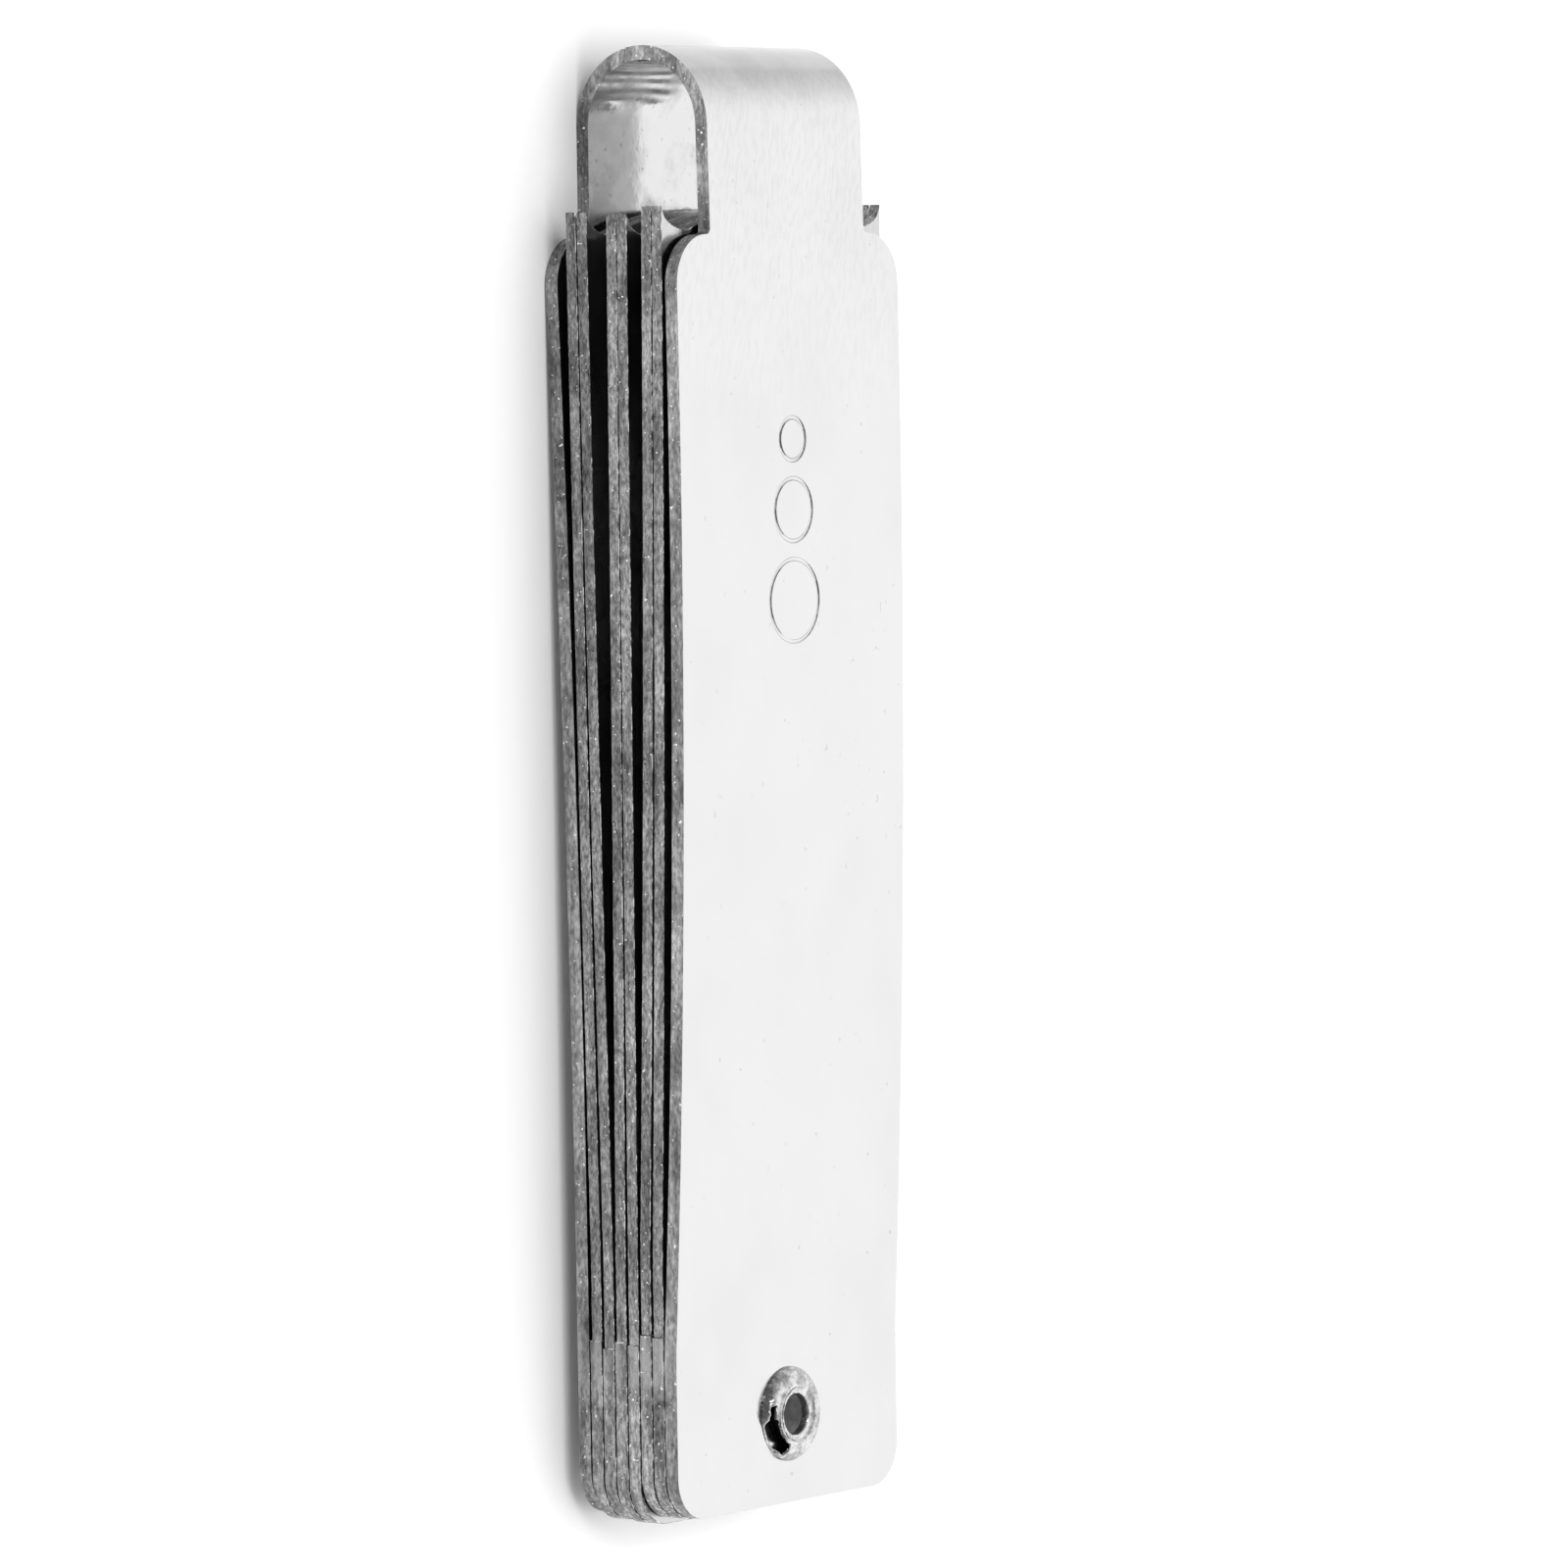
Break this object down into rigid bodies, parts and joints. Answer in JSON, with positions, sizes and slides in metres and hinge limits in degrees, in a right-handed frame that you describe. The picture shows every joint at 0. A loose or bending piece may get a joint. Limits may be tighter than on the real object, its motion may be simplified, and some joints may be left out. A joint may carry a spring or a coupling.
{
  "type": "folding hole gauge",
  "caption": "Pocket hole gauge: flat steel leaves with graded round holes swing out of a folded sheet case on a hollow eyelet; the fold is a hanging loop.",
  "frame": {"origin": "on the eyelet's axis, at the outer face of the back cover", "axes": "+X across the leaves, +Y from the eyelet towards the hanging loop, +Z out of the front cover"},
  "size_m": [0.019, 0.0738, 0.0083],
  "materials": {
    "case_steel": "bright plated, fine vertical polish marks, small scuffs",
    "leaf_steel": "bright faces, sheared mid-grey edges with a fine burr",
    "eyelet_steel": "bright plated, rolled"
  },
  "bodies": {
    "case": {"folded_case": "case_steel", "pivot_eyelet": "eyelet_steel"},
    "leaf_1": {"gauge_leaf_1": "leaf_steel"},
    "leaf_2": {"gauge_leaf_2": "leaf_steel"},
    "leaf_3": {"gauge_leaf_3": "leaf_steel"},
    "leaf_4": {"gauge_leaf_4": "leaf_steel"},
    "leaf_5": {"gauge_leaf_5": "leaf_steel"},
    "leaf_6": {"gauge_leaf_6": "leaf_steel"}
  },
  "joints": [
    {"name": "leaf_1_swing", "type": "hinge", "parent": "case", "child": "leaf_1", "pos_m": [0, 0, 0.00114], "axis": [0, 0, 1], "continuous": true},
    {"name": "leaf_2_swing", "type": "hinge", "parent": "case", "child": "leaf_2", "pos_m": [0, 0, 0.00191], "axis": [0, 0, 1], "continuous": true},
    {"name": "leaf_3_swing", "type": "hinge", "parent": "case", "child": "leaf_3", "pos_m": [0, 0, 0.00267], "axis": [0, 0, 1], "continuous": true},
    {"name": "leaf_4_swing", "type": "hinge", "parent": "case", "child": "leaf_4", "pos_m": [0, 0, 0.00344], "axis": [0, 0, 1], "continuous": true},
    {"name": "leaf_5_swing", "type": "hinge", "parent": "case", "child": "leaf_5", "pos_m": [0, 0, 0.00421], "axis": [0, 0, 1], "continuous": true},
    {"name": "leaf_6_swing", "type": "hinge", "parent": "case", "child": "leaf_6", "pos_m": [0, 0, 0.00498], "axis": [0, 0, 1], "continuous": true}
  ]
}
